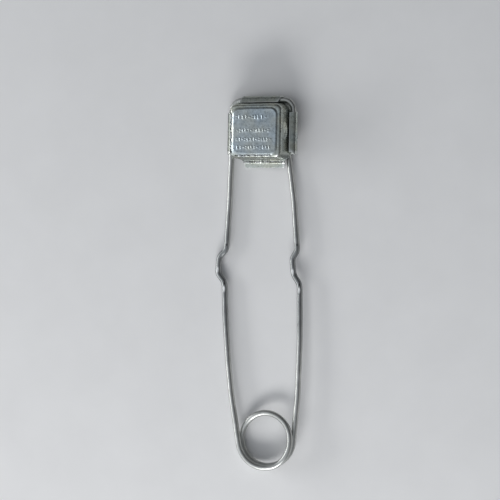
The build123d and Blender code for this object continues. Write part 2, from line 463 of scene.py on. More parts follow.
mark_row(166.6, -13.8, 3.6, 1.05, 1.75)
mark_row(159.7, -13.2, 5.4, 0.95, 1.55)
mark_row(155.1, -13.4, 5.6, 0.95, 1.50)
mark_row(150.9, -13.0, 4.9, 0.95, 1.55)


def relief(x, y):
    h = 0.0
    for xc, yc, hx, hy, up in BARS:
        ay = abs(y - yc)
        if ay > hy + 0.5:
            continue
        ax = abs(x - xc)
        if ax > hx + 0.5:
            continue
        r = min(hx, hy)
        qx, qy = ax - (hx - r), ay - (hy - r)
        d = math.hypot(max(qx, 0), max(qy, 0)) + min(max(qx, qy), 0) - r
        h = max(h, up * smooth01(0.5 - d / 0.50))
    return 0.17 * h


def face_height(x, y):
    qx, qy = abs(x - PAN_CX) - (PAN_HX - PAN_R), abs(y - PAN_CY) - (PAN_HY - PAN_R)
    s = PAN_R - (math.hypot(max(qx, 0), max(qy, 0)) + min(max(qx, qy), 0))
    phi = math.atan2(y - PAN_CY, x - PAN_CX)
    # the punched slope is widest on the left and a little wider than the rest at the bottom
    wide = (SLOPE_WIDE - SLOPE_NARROW) * smooth01(-1.5 * math.cos(phi) - 0.35) + 0.30 * smooth01(-1.5 * math.sin(phi) - 0.35)
    t = max(0.0, min(1.0, s / (SLOPE_NARROW + wide)))
    z = base_height(x, y) + RISE * (0.55 * t + 0.45 * smooth01(t))
    # the pressed metal is not dead flat: a slight crown and shallow dents
    inside = smooth01((s - 0.4) / 3.0)
    z += inside * (0.12 * (1 - ((x - PAN_CX) / 12.5) ** 2) * (1 - ((y - PAN_CY) / 12.3) ** 2) - 0.05)
    z += 0.05 * noise.noise(Vector((x * 0.16, y * 0.16, 3.1))) * smooth01((s + 0.6) / 1.5)
    z += 0.022 * noise.noise(Vector((x * 0.55, y * 0.55, 9.7)))
    return z + relief(x, y)


cv, cf = [], []        # vertices and faces of the sheet's outer side


def put(p):
    cv.append(Vector(p))
    return len(cv) - 1


LANCE_Y, LANCE_HALF, LANCE_IN, LANCE_Z = 159.9, 5.0, 1.65, 14.70


def lance_depth(y, z):
    d2 = ((y - LANCE_Y) ** 2 + (LANCE_Z - z) ** 2) / LANCE_HALF ** 2
    if d2 >= 1.0:
        return 0.0
    return LANCE_IN * (0.70 * math.sqrt(1.0 - d2) + 0.30 * (1.0 - d2)) * smooth01((1.0 - d2) / 0.12)


def wall_off(z):
    return 4.9 - (z - RIM_Z) * TAN_D


# rings from the flare's edge inwards and up; each is a list of vertex numbers
rings = []
lip_z = RIM_Z + SHEET
BEND = 0.55             # outside corner between flare and wall, rounded
o_rim = wall_off(lip_z)
profile = [(FLARE_R, lip_z), (FLARE_R - 0.22, lip_z)]
for k in range(0, 6):
    a = math.radians(90 * k / 5)
    profile.append((o_rim + BEND - BEND * math.sin(a) - (BEND * (1 - math.cos(a))) * TAN_D,
                    lip_z + BEND * (1 - math.cos(a))))
wall_z = [lip_z + BEND + 0.45 + 0.55 * i for i in range(0, 18)]
wall_z = [z for z in wall_z if z < LANCE_Z - 0.2] + [LANCE_Z]
wall_z += [LANCE_Z + 0.28]
for z in wall_z:
    profile.append((wall_off(z), z))
split_ring = None


def flare_share(j):
    """1 at the tabs, less at the corners between them, where the rim is cut close."""
    x, y = ring_xy(j, FLARE_R)
    fx, fy, dx, dy = loop[j]
    gaps = []
    if dx > 0.3 or dx < -0.3:
        gaps.append(max(SIDE_TAB[0] - y, y - SIDE_TAB[1], 0.0))
    if dy > 0.3:
        gaps.append(max(TOP_TAB[0] - x, x - TOP_TAB[1], 0.0))
    if dy < -0.3:
        gaps.append(max(LOW_TAB[0] - x, x - LOW_TAB[1], 0.0))
    g = min(gaps) if gaps else 0.0
    return 1.0 - 0.80 * smooth01(g / 0.7)


shares = [flare_share(j) for j in range(NL)]
for o, z in profile:
    rings.append([put((*ring_xy(j, wall_off(lip_z) + (o - wall_off(lip_z)) * shares[j] if o > wall_off(lip_z) else o), z))
                  for j in range(NL)])
    if abs(z - LANCE_Z) < 1e-6:
        split_ring = len(rings) - 1
# the face's edge fillet, from the wall to 45 degrees
for a in (8, 18, 28, 38, 48):
    r = math.radians(a)
    off, z = O_C + FIL * math.cos(r), FACE_Z - FIL + FIL * math.sin(r)
    rings.append([put((*ring_xy(j, off), z)) for j in range(NL)])
off45 = O_C + FIL * math.cos(math.radians(48))
steps = spaced(0.0, 1.0, 12)[1:]
for m in steps:
    row = []
    for j in range(NL):
        x, y = ring_xy(j, off45 + (O_C - off45) * min(1.0, m * 1.1), m, 0.0)
        row.append(put((x, y, face_height(x, y))))
    rings.append(row)
for b in (0.10, 0.20, 0.32, 0.46, 0.62, 0.78, 0.94, 1.10, 1.26, 1.42, 1.58, 1.78, 2.05):
    row = []
    for j in range(NL):
        x, y = ring_xy(j, 0.0, 1.0, b)
        row.append(put((x, y, face_height(x, y))))
    rings.append(row)

# the slit: vertices of the lower lip of the lance are their own
lower_lip = {}
for j in range(NL):
    p = cv[rings[split_ring][j]]
    fx, fy, dx, dy = loop[j]
    if abs(dx) > 0.99 and abs(p.y - LANCE_Y) < LANCE_HALF - 0.05:
        lower_lip[j] = put(p.copy())
low_row = [lower_lip.get(j, rings[split_ring][j]) for j in range(NL)]
for k in range(len(rings)):
    row = low_row if k == split_ring else rings[k]
    if k > split_ring:
        break
    for j in range(NL):
        fx, fy, dx, dy = loop[j]
        if abs(dx) < 0.99:
            continue
        if k == split_ring and j not in lower_lip:
            continue
        p = cv[row[j]]
        d = lance_depth(p.y, p.z)
        if k < split_ring and d > 0:
            p.x -= math.copysign(d, dx)
        elif k == split_ring:
            p.x -= math.copysign(d, dx)
            p.z -= 0.16 * smooth01(d / 0.6)

for k in range(len(rings) - 1):
    a = rings[k]
    b = low_row if k + 1 == split_ring else rings[k + 1]
    for j in range(NL):
        n = (j + 1) % NL
        cf.append((a[j], a[n], b[n], b[j]))

# the panel's middle: a grid that meets the last ring point for point
last = rings[-1]
half_c = N_CORNER // 2
n_side = N_STRAIGHT + N_CORNER
start = (-half_c) % NL                    # middle of the lower right corner
right_ids = [last[(start + i) % NL] for i in range(n_side + 1)]
top_ids = [last[(start + n_side + i) % NL] for i in range(n_side + 1)]
left_ids = [last[(start + 2 * n_side + i) % NL] for i in range(n_side + 1)]
low_ids = [last[(start + 3 * n_side + i) % NL] for i in range(n_side + 1)]
grid = [[None] * (n_side + 1) for _ in range(n_side + 1)]   # [row from low][column from left]
for i in range(n_side + 1):
    grid[i][n_side] = right_ids[i]
    grid[n_side][n_side - i] = top_ids[i]
    grid[n_side - i][0] = left_ids[i]
    grid[0][i] = low_ids[i]
for r in range(1, n_side):
    v = r / n_side
    for c in range(1, n_side):
        u = c / n_side
        p = [0.0, 0.0]
        for t in (0, 1):
            L, R = cv[grid[r][0]][t], cv[grid[r][n_side]][t]
            B, T = cv[grid[0][c]][t], cv[grid[n_side][c]][t]
            c00, c10 = cv[grid[0][0]][t], cv[grid[0][n_side]][t]
            c01, c11 = cv[grid[n_side][0]][t], cv[grid[n_side][n_side]][t]
            p[t] = ((1 - u) * L + u * R + (1 - v) * B + v * T
                    - ((1 - u) * (1 - v) * c00 + u * (1 - v) * c10 + (1 - u) * v * c01 + u * v * c11))
        grid[r][c] = put((p[0], p[1], face_height(p[0], p[1])))
for r in range(n_side):
    for c in range(n_side):
        cf.append((grid[r][c], grid[r][c + 1], grid[r + 1][c + 1], grid[r + 1][c]))

# tabs: strips that carry on from the flare's edge
CURL_R = 1.60
rim_row = rings[0]


def columns(test, start_j):
    """Vertex numbers along the flare's edge inside a tab, in loop order."""
    out = []
    for i in range(NL):
        j = (start_j + i) % NL
        if test(cv[rim_row[j]], loop[j]):
            out.append(j)
    return out


def strip(cols, rows_fn):
    prev = [rim_row[j] for j in cols]
    for row in rows_fn:
        ids = [put(row(cv[rim_row[j]], k / (len(cols) - 1))) for k, j in enumerate(cols)]
        for k in range(len(cols) - 1):
            cf.append((prev[k], prev[k + 1], ids[k + 1], ids[k]))
        prev = ids


EPS = 1e-3


def curl_rows(length, mid, axis, sign, centre, slant_lo, slant_hi):
    """Rows of a tab closed over the wire: round its outside, then nearly flat in towards the wall.
    axis: the coordinate along the wire. slant_*: how far each end leans along the tab by the free edge."""
    pts = [(CURL_R * math.cos(math.radians(a)), CURL_R * math.sin(math.radians(a)))
           for a in [-90 + 150.0 * i / 22 for i in range(23)]]
    a_end = math.radians(60)
    d = Vector((-math.sin(a_end), math.cos(a_end)))
    # ease the last stretch a little flatter than the tangent
    p = Vector(pts[-1])
    for i in range(12):
        ang = a_end + math.radians(min(12.0, 2.6 * i))
        d = Vector((-math.sin(ang), math.cos(ang)))
        p = p + d * (2.42 / 12)
        pts.append((p.x, p.y))
    n = len(pts) - 1
    rows = []
    for i, (u, v) in enumerate(pts):
        f = smooth01((i / n - 0.42) / 0.58) if i else 0.0

        def row(root, t, u=u, v=v, f=f, i=i):
            along = root[axis]
            q = (along - (mid - length / 2)) / length
            al = along + f * (slant_lo * (1 - q) + slant_hi * q)
            press = 0.07 * noise.noise(Vector((al * 0.22, i * 0.06, sign * 4.0 + axis))) * min(1.0, i / 10)
            uu, vv = u + press * 0.4, v + press
            if axis == 1:
                return (centre + sign * uu, al, LOOP_Z + vv)
            return (al, centre + sign * uu, LOOP_Z + vv)
        rows.append(row)
    return rows


right_cols = columns(lambda p, l: l[2] > 0.4 and SIDE_TAB[0] - EPS <= p.y <= SIDE_TAB[1] + EPS, NL - 20)
strip(right_cols, curl_rows(SIDE_TAB[1] - SIDE_TAB[0], sum(SIDE_TAB) / 2, 1, 1, LOOP_CX + LOOP_HALF, 1.2, -0.4))
left_cols = columns(lambda p, l: l[2] < -0.4 and SIDE_TAB[0] - EPS <= p.y <= SIDE_TAB[1] + EPS, 0)
strip(left_cols, curl_rows(SIDE_TAB[1] - SIDE_TAB[0], sum(SIDE_TAB) / 2, 1, -1, LOOP_CX - LOOP_HALF, 0.9, -0.9))
top_cols = columns(lambda p, l: l[3] > 0.4 and TOP_TAB[0] - EPS <= p.x <= TOP_TAB[1] + EPS, 0)
strip(top_cols, curl_rows(TOP_TAB[1] - TOP_TAB[0], sum(TOP_TAB) / 2, 0, 1, LOOP_TOP, -0.5, -2.3))


def low_rows():
    rows = []
    u, z, ds = RIM_HY + 0.25, lip_z, 0.12
    y_wall = CUP_CY
    length = LOW_TAB[1] - LOW_TAB[0]
    mid = sum(LOW_TAB) / 2
    # turned down short of the rim, then eased out again towards the free edge
    turns = [(0.0, 0.0), (1.1, 54.0), (1.55, 50.0), (2.2, 16.0), (9.0, 8.0)]
    pts, s = [(u, z)], 0.0
    while u < RIM_HY + 3.66:
        s += ds
        for (s0, a0), (s1, a1) in zip(turns, turns[1:]):
            if s0 <= s <= s1:
                ang = math.radians(a0 + (a1 - a0) * smooth01((s - s0) / (s1 - s0)))
        u, z = u + ds * math.cos(ang), z - ds * math.sin(ang)
        pts.append((u, z))
    tip = pts[-1][0]
    for u, z in pts:
        d = max(0.0, 1.5 - (tip + 0.08 - u))
        cut = 1.5 - math.sqrt(max(0.0, 1.5 ** 2 - d ** 2))
        k = 1 - 2 * cut / length

        def row(root, t, u=u, z=z, k=k):
            x = mid + (root.x - mid) * k
            wave = 0.10 * noise.noise(Vector((x * 0.12, 2.0, 7.0))) * smooth01((u - RIM_HY - 1.0) / 1.5)
            return (x, y_wall - u, z + wave)
        rows.append(row)
    return rows


low_cols = columns(lambda p, l: l[3] < -0.4 and LOW_TAB[0] - EPS <= p.x <= LOW_TAB[1] + EPS, NL // 2)
strip(low_cols, low_rows())

def to_design(p):
    q = Vector(p) / MM - SHIFT
    return Vector((q.dot(X_DIR), q.dot(Y_DIR), q.dot(Z_DIR)))


def set_design_coords(ob):
    at = ob.data.attributes.get("dmm") or ob.data.attributes.new("dmm", "FLOAT_VECTOR", "POINT")
    for i, v in enumerate(ob.data.vertices):
        at.data[i].vector = tuple(to_design(v.co))


def thicken(ob, towards, thickness):
    """Gives an open sheet its thickness on the side away from its normals, with closed edges."""
    bm = bmesh.new()
    bm.from_mesh(ob.data)
    bmesh.ops.recalc_face_normals(bm, faces=bm.faces)
    bm.normal_update()
    probe = max(bm.faces, key=lambda f: f.calc_center_median().dot(towards))
    if probe.normal.dot(towards) < 0:
        bmesh.ops.reverse_faces(bm, faces=bm.faces)
        bm.normal_update()
    old_faces = list(bm.faces)
    border = [e for e in bm.edges if len(e.link_faces) == 1]
    twin = {}
    for v in list(bm.verts):
        n = v.normal
        dots = [max(0.1, n.dot(f.normal)) for f in v.link_faces]
        k = min(1.22, 1.0 / (sum(dots) / len(dots)))
        twin[v] = bm.verts.new(v.co - n * (thickness * k))
    for f in old_faces:
        bm.faces.new([twin[v] for v in reversed(f.verts)])
    for e in border:
        f = e.link_faces[0]
        for lp in f.loops:
            if lp.edge == e:
                a, c = lp.vert, lp.link_loop_next.vert
                bm.faces.new((c, a, twin[a], twin[c]))
                break
    bm.normal_update()
    bm.to_mesh(ob.data)
    bm.free()


# the lower wall stands steeper than the others
for p in cv:
    if p.y < CUP_CY:
        low = CUP_CY - p.y
        share = min(low, RIM_HY) / RIM_HY - 0.5 * max(0.0, min(1.0, (low - RIM_HY) / 3.6))
        p.y += 0.85 * share * max(0.0, min(1.0, (FACE_Z - 1.0 - p.z) / 12.5))

cup = make_object("pressed_cup", cv, cf)
thicken(cup, Z_DIR, SHEET * MM)
m = cup.modifiers.new("edges", "BEVEL")
m.width = 0.12 * MM
m.segments = 2
m.limit_method = "ANGLE"
m.angle_limit = math.radians(55)
apply_modifiers(cup)
set_design_coords(cup)
for p in cup.data.polygons:
    p.use_smooth = True

# --------------------------------------------------------------------------
# file plate: hardened steel with single-cut teeth on the side that meets the flint
FW, FH, FR, FT = 25.6, 25.0, 3.2, 1.50
FCX, FCY = CUP_CX, CUP_CY - 0.1
TOOTH, TDEPTH, TANG = 0.95, 0.30, math.radians(14.0)


def make_file():
    bm = bmesh.new()
    n_t, n_l = 44, 40
    half = n_t * TOOTH / 2
    span = 21.0
    ca, sa = math.cos(TANG), math.sin(TANG)
    cols = []
    for i in range(n_t):
        for f, d in ((0.0, 0.0), (0.07, 0.0), (0.30, TDEPTH), (0.36, TDEPTH)):
            cols.append((-half + (i + f) * TOOTH, d))
    cols.append((half, 0.0))

    def vert(u, v, z):
        return bm.verts.new((FCX + u * ca - v * sa, FCY + u * sa + v * ca, z))
    low, top = [], []
    for u, d in cols:
        a = []
        for k in range(n_l + 1):
            v = -span + 2 * span * k / n_l
            nz = noise.noise(Vector((u * 0.9, v * 0.5, 5.5)))
            a.append(vert(u + 0.03 * nz, v, FILE_BACK + d + 0.02 * (nz + 1)))
        low.append(a)
        top.append([vert(u, -span + 2 * span * k / n_l, FILE_BACK + FT) for k in (0, n_l)])
    for a, b in zip(low, low[1:]):
        for k in range(n_l):
            bm.faces.new((a[k], a[k + 1], b[k + 1], b[k]))
    for a, b in zip(top, top[1:]):
        bm.faces.new((a[0], b[0], b[1], a[1]))
    for i in range(len(cols) - 1):
        bm.faces.new((low[i][0], low[i + 1][0], top[i + 1][0], top[i][0]))
        bm.faces.new((low[i + 1][n_l], low[i][n_l], top[i][1], top[i + 1][1]))
    bm.faces.new([low[0][k] for k in range(n_l, -1, -1)] + [top[0][0], top[0][1]])
    bm.faces.new([low[-1][k] for k in range(n_l + 1)] + [top[-1][1], top[-1][0]])
    bmesh.ops.recalc_face_normals(bm, faces=bm.faces)

    def cut(co, no):
        geom = bm.verts[:] + bm.edges[:] + bm.faces[:]
        res = bmesh.ops.bisect_plane(bm, geom=geom, dist=1e-5, plane_co=co, plane_no=no, clear_outer=True)
        edges = [e for e in res["geom_cut"] if isinstance(e, bmesh.types.BMEdge) and e.is_boundary]
        if edges:
            bmesh.ops.edgeloop_fill(bm, edges=edges)
    dirs = []
    for q, (sx, sy) in enumerate(((1, 1), (-1, 1), (-1, -1), (1, -1))):
        for k in range(7):
            a = math.radians(90 * q + 90 * k / 6)
            d = Vector((math.cos(a), math.sin(a), 0))
            dirs.append((Vector((FCX + sx * (FW / 2 - FR), FCY + sy * (FH / 2 - FR), 0)) + d * FR, d))
    for co, d in dirs:
        cut(co, d)
    for co, d in dirs:
        cut(Vector((co.x, co.y, FILE_BACK + FT - 0.5)), (d + Vector((0, 0, 1))).normalized())
        cut(Vector((co.x, co.y, FILE_BACK + 0.12)), (d * 0.8 - Vector((0, 0, 1))).normalized())
    bm.verts.ensure_lookup_table()
    bm.verts.index_update()
    verts = [v.co.copy() for v in bm.verts]
    faces = [tuple(v.index for v in f.verts) for f in bm.faces]
    bm.free()
    return make_object("toothed_file", verts, faces, smooth=False)


file_ob = make_file()


# --------------------------------------------------------------------------
# flint renewal: knurled collar and crimped ferrule, with the flint set in it
def lathe(name, rows, seg, radius_fn=None, attrs=None):
    """rows: (radius, z) round the closed section; radius_fn(r, z, angle, i) may vary it."""
    verts, faces = [], []
    for i, (r, z) in enumerate(rows):
        for j in range(seg):
            a = 2 * math.pi * j / seg
            rr = radius_fn(r, z, a, i) if radius_fn else r
            verts.append(Vector((STUD[0] + rr * math.cos(a), STUD[1] + rr * math.sin(a), z)))
    n = len(rows)
    for i in range(n):
        k = (i + 1) % n
        for j in range(seg):
            l = (j + 1) % seg
            faces.append((i * seg + j, i * seg + l, k * seg + l, k * seg + j))
    return make_object(name, verts, faces)


knurl_rows = []
rows = [(1.47, 7.75), (1.47, 4.55), (1.60, 4.30), (1.66, 4.12), (1.80, 4.11), (1.88, 4.20)]
k0 = len(rows)
n_k = 36
for i in range(n_k + 1):
    rows.append((1.965, 4.34 + (6.86 - 4.34) * i / n_k))
k1 = len(rows)
rows += [(1.90, 7.00), (1.80, 7.09), (1.74, 7.13), (1.70, 7.20)]
for z in spaced(7.4, 10.2, 9):
    rows.append((1.695, z))
rows += [(1.62, 10.34), (1.60, 10.42), (1.62, 10.50), (1.69, 10.64), (1.695, 11.0),
         (1.68, 11.22), (1.62, 11.35), (1.52, 11.40), (1.46, 11.37), (1.425, 11.28),
         (1.415, 10.9), (1.415, 8.42), (0.30, 8.40), (0.30, 7.78)]
KN = 24


def knurl(r, z, a, i):
    if k0 <= i < k1:
        edge = smooth01(min(i - k0, k1 - 1 - i) / 2.5)
        p = KN * a / 2
        q = (z - 4.34) * math.pi / 0.52
        t1 = abs(((p + q) / math.pi) % 1.0 - 0.5) * 2
        t2 = abs(((p - q) / math.pi) % 1.0 - 0.5) * 2
        return r - 0.13 * edge * (1 - min(1.0, 1.5 * min(1 - t1, 1 - t2)))
    return r + 0.006 * math.sin(a * 3 + z)


holder = lathe("renewal_holder", rows, 144, knurl)

frows = [(0.02, 8.41), (1.38, 8.42), (1.395, 8.6)]
frows += [(1.395, z) for z in spaced(9.2, 14.2, 22)]
frows += [(1.36, 14.36), (1.28, 14.50), (1.16, 14.60), (0.98, 14.66), (0.7, 14.70), (0.4, 14.72), (0.02, 14.725)]


def flint_r(r, z, a, i):
    if z < 11.2 or r < 0.1:
        return r
    c, s = math.cos(a), math.sin(a)
    k = smooth01((z - 11.2) / 0.6)
    n = noise.noise(Vector((c * 2.2, s * 2.2, z * 1.5))) * 0.030 + noise.noise(Vector((c * 6, s * 6, z * 4))) * 0.018
    return r * (1 + k * (n - 0.02))


flint_ob = lathe("flint_rod", frows[::1], 72, flint_r)
# the lathe closes its section through the middle: drop that inner wall and cap the ends
bm = bmesh.new()
bm.from_mesh(flint_ob.data)
inner = [f for f in bm.faces if f.calc_center_median().length > 0 and max(
    ((v.co - W((STUD[0], STUD[1], 8.4))) - Z_DIR * (v.co - W((STUD[0], STUD[1], 8.4))).dot(Z_DIR)).length
    for v in f.verts) < 0.05 * MM]
bmesh.ops.delete(bm, geom=inner, context="FACES")
bmesh.ops.remove_doubles(bm, verts=bm.verts, dist=0.03 * MM)
bmesh.ops.recalc_face_normals(bm, faces=bm.faces)
bm.to_mesh(flint_ob.data)
bm.free()


# --------------------------------------------------------------------------
# materials
def material(name):
    mat = bpy.data.materials.new(name)
    mat.use_nodes = True
    nt = mat.node_tree
    nt.nodes.clear()
    out = nt.nodes.new("ShaderNodeOutputMaterial")
    bsdf = nt.nodes.new("ShaderNodeBsdfPrincipled")
    nt.links.new(bsdf.outputs[0], out.inputs[0])
    return mat, nt, bsdf


def node(nt, kind, **kw):
    n = nt.nodes.new(kind)
    for k, v in kw.items():
        if k.startswith("in_"):
            n.inputs[k[3:].replace("_", " ")].default_value = v
        else:
            setattr(n, k, v)
    return n


def attribute(nt, name, scale=(1, 1, 1)):
    a = node(nt, "ShaderNodeAttribute", attribute_name=name, attribute_type="GEOMETRY")
    m = node(nt, "ShaderNodeMapping")
    m.inputs["Scale"].default_value = scale
    nt.links.new(a.outputs["Vector"], m.inputs["Vector"])
    return m.outputs["Vector"]


def noise_tex(nt, vec, scale, detail=3.0, rough=0.55, distortion=0.0):
    n = node(nt, "ShaderNodeTexNoise")
    n.inputs["Scale"].default_value = scale
    n.inputs["Detail"].default_value = detail
    n.inputs["Roughness"].default_value = rough
    n.inputs["Distortion"].default_value = distortion
    nt.links.new(vec, n.inputs["Vector"])
    return n.outputs["Fac"]


def ramp(nt, fac, stops):
    r = node(nt, "ShaderNodeValToRGB")
    e = r.color_ramp.elements
    while len(e) < len(stops):
        e.new(0.5)
    for i, (p, c) in enumerate(stops):
        e[i].position = p
        e[i].color = (*c, 1.0) if isinstance(c, tuple) else (c, c, c, 1.0)
    nt.links.new(fac, r.inputs["Fac"])
    return r.outputs["Color"]


def to_range(nt, fac, a, b, lo, hi):
    m = node(nt, "ShaderNodeMapRange")
    m.inputs["From Min"].default_value = a
    m.inputs["From Max"].default_value = b
    m.inputs["To Min"].default_value = lo
    m.inputs["To Max"].default_value = hi
    nt.links.new(fac, m.inputs["Value"])
    return m.outputs["Result"]


def mix_col(nt, mode, fac, a, b):
    m = node(nt, "ShaderNodeMix", data_type="RGBA", blend_type=mode)
    for sock, v in ((m.inputs["Factor"], fac), (m.inputs[6], a), (m.inputs[7], b)):
        if isinstance(v, (int, float)):
            sock.default_value = v
        elif isinstance(v, tuple):
            sock.default_value = (*v, 1.0)
        else:
            nt.links.new(v, sock)
    return m.outputs[2]


def math_node(nt, op, a, b=None, clamp=False):
    m = node(nt, "ShaderNodeMath", operation=op, use_clamp=clamp)
    for i, v in enumerate((a, b)):
        if v is None:
            continue
        if isinstance(v, (int, float)):
            m.inputs[i].default_value = v
        else:
            nt.links.new(v, m.inputs[i])
    return m.outputs[0]


def bump(nt, bsdf, layers):
    """layers: (height socket, distance in mm, strength)"""
    prev = None
    for h, dist, strength in layers:
        b = node(nt, "ShaderNodeBump")
        b.inputs["Distance"].default_value = dist * MM
        b.inputs["Strength"].default_value = strength
        nt.links.new(h, b.inputs["Height"])
        if prev is not None:
            nt.links.new(prev, b.inputs["Normal"])
        prev = b.outputs["Normal"]
    nt.links.new(prev, bsdf.inputs["Normal"])


def wire_material():
    mat, nt, b = material("drawn_spring_wire")
    v = attribute(nt, "straight")
    vl = attribute(nt, "straight", (1.0, 1.0, 0.05))
    big = noise_tex(nt, v, 0.22, 3.0)
    mid = noise_tex(nt, v, 1.1, 4.0, 0.6)
    streak = noise_tex(nt, vl, 3.2, 4.0, 0.65)
    fine = noise_tex(nt, v, 7.0, 2.0)
    col = ramp(nt, big, [(0.30, (0.47, 0.48, 0.46)), (0.52, (0.54, 0.55, 0.53)), (0.72, (0.61, 0.62, 0.60))])
    col = mix_col(nt, "MULTIPLY", 0.30, col, ramp(nt, streak, [(0.34, 0.62), (0.56, 1.0)]))
    pits = ramp(nt, mid, [(0.25, 0.45), (0.33, 1.0)])
    col = mix_col(nt, "MULTIPLY", 0.4, col, pits)
    # painted shade: the base colour is darker along the wire for some way round each finger bend
    along = node(nt, "ShaderNodeSeparateXYZ")
    nt.links.new(v, along.inputs[0])
    for s0 in WIRE_SHADE_CENTRES:
        gap = math_node(nt, "ABSOLUTE", math_node(nt, "SUBTRACT", along.outputs["Z"], s0), 0.0)
        col = mix_col(nt, "MULTIPLY", 1.0, col, ramp(nt, to_range(nt, gap, 0.0, 60.0, 0.0, 1.0),
                                                     [(0.30, (0.60, 0.61, 0.63)), (0.75, (1.0, 1.0, 1.0))]))

    def spot(centre, reach, stretch):
        away = node(nt, "ShaderNodeVectorMath", operation="SUBTRACT")
        nt.links.new(v, away.inputs[0])
        away.inputs[1].default_value = centre
        squash = node(nt, "ShaderNodeVectorMath", operation="MULTIPLY")
        nt.links.new(away.outputs[0], squash.inputs[0])
        squash.inputs[1].default_value = (1.0, 1.0, stretch)
        size = node(nt, "ShaderNodeVectorMath", operation="LENGTH")
        nt.links.new(squash.outputs[0], size.inputs[0])
        return to_range(nt, size.outputs["Value"], reach * 0.45, reach, 1.0, 0.0)

    # painted highlights: near-white spots on the wire's pressed flats
    for centre in WIRE_GLINT_SPOTS:
        col = mix_col(nt, "MIX", spot(centre, 0.85, 0.42), col, (0.95, 0.95, 0.94))
    # small near-black spots in the wire's colour at these points
    for centre in DARK_WIRE_DOTS:
        col = mix_col(nt, "MIX", spot(centre, 0.62, 0.7), col, (0.10, 0.10, 0.10))
    nt.links.new(col, b.inputs["Base Color"])
    b.inputs["Metallic"].default_value = 1.0
    b.inputs["IOR"].default_value = 2.2
    r = to_range(nt, mid, 0.3, 0.7, 0.31, 0.43)
    nt.links.new(r, b.inputs["Roughness"])
    bump(nt, b, [(streak, 0.02, 0.5), (mid, 0.03, 0.35), (fine, 0.008, 0.4)])
    return mat


def cup_material():
    mat, nt, b = material("pressed_zinc_steel")
    v = attribute(nt, "dmm")
    vs = attribute(nt, "dmm", (1.0, 0.16, 1.0))
    big = noise_tex(nt, v, 0.13, 3.0, 0.5)
    mot = noise_tex(nt, v, 0.75, 5.0, 0.62, 0.4)
    mid = noise_tex(nt, v, 2.1, 3.0, 0.6)
    scr = noise_tex(nt, vs, 5.5, 3.0, 0.6)
    fine = noise_tex(nt, v, 9.0, 2.0)
    col = ramp(nt, mot, [(0.28, (0.34, 0.355, 0.35)), (0.5, (0.47, 0.48, 0.47)), (0.74, (0.58, 0.60, 0.60))])
    tint = ramp(nt, big, [(0.35, (1.0, 0.985, 0.93)), (0.65, (0.90, 0.95, 1.0))])
    col = mix_col(nt, "MULTIPLY", 1.0, col, tint)
    sep = node(nt, "ShaderNodeSeparateXYZ")
    nt.links.new(v, sep.inputs[0])
    lift = to_range(nt, sep.outputs["Z"], 16.9, 17.5, 0.0, 1.0)
    col = mix_col(nt, "MULTIPLY", 1.0, col, mix_col(nt, "MIX", lift, (0.98, 1.0, 0.93), (0.93, 1.0, 1.06)))
    # painted shade: where z is under 16.8 mm, the colour is darkened left of x -16.3 mm and in a band along the
    # lower wall and its fillet, to damp the highlights there
    low = math_node(nt, "MAXIMUM", to_range(nt, sep.outputs["Y"], 147.3, 147.9, 0.62, 1.0),
                    to_range(nt, sep.outputs["Y"], 143.4, 144.2, 1.0, 0.0))
    wall_shade_painted = math_node(nt, "MINIMUM", low, to_range(nt, sep.outputs["X"], -17.1, -16.3, 0.66, 1.0))
    upper = to_range(nt, sep.outputs["Z"], 16.50, 16.82, 0.0, 1.0)
    col = mix_col(nt, "MULTIPLY", 1.0, col, math_node(nt, "MAXIMUM", wall_shade_painted, upper))
    pits = ramp(nt, mid, [(0.27, 0.30), (0.36, 1.0)])
    col = mix_col(nt, "MULTIPLY", 0.75, col, pits)
    geo = node(nt, "ShaderNodeNewGeometry")
    edge = ramp(nt, geo.outputs["Pointiness"], [(0.515, 0.0), (0.56, 1.0)])
    bright = mix_col(nt, "MIX", 0.5, col, (0.80, 0.81, 0.80))
    col = mix_col(nt, "MIX", edge, col, bright)
    # painted shade: darker in concave creases
    crease_shade_painted = ramp(nt, geo.outputs["Pointiness"], [(0.44, 0.55), (0.49, 1.0)])
    col = mix_col(nt, "MULTIPLY", 0.25, col, crease_shade_painted)
    nt.links.new(col, b.inputs["Base Color"])
    b.inputs["Metallic"].default_value = 1.0
    b.inputs["IOR"].default_value = 2.2
    r = to_range(nt, mot, 0.3, 0.7, 0.24, 0.38)
    nt.links.new(r, b.inputs["Roughness"])
    bump(nt, b, [(mot, 0.05, 0.35), (scr, 0.012, 0.35), (fine, 0.006, 0.4)])
    return mat


def file_material():
    mat, nt, b = material("hardened_file_steel")
    v = attribute(nt, "dmm")
    big = noise_tex(nt, v, 0.35, 3.0)
    fine = noise_tex(nt, v, 4.5, 4.0, 0.65)
    col = ramp(nt, big, [(0.35, (0.16, 0.155, 0.15)), (0.65, (0.27, 0.265, 0.26))])
    geo = node(nt, "ShaderNodeNewGeometry")
    edge = ramp(nt, geo.outputs["Pointiness"], [(0.51, 0.0), (0.58, 1.0)])
    col = mix_col(nt, "MIX", edge, col, (0.62, 0.61, 0.58))
    col = mix_col(nt, "MULTIPLY", 0.5, col, ramp(nt, fine, [(0.3, 0.55), (0.5, 1.0)]))
    nt.links.new(col, b.inputs["Base Color"])
    b.inputs["Metallic"].default_value = 1.0
    r = to_range(nt, fine, 0.3, 0.7, 0.36, 0.55)
    nt.links.new(r, b.inputs["Roughness"])
    bump(nt, b, [(fine, 0.02, 0.4)])
    return mat


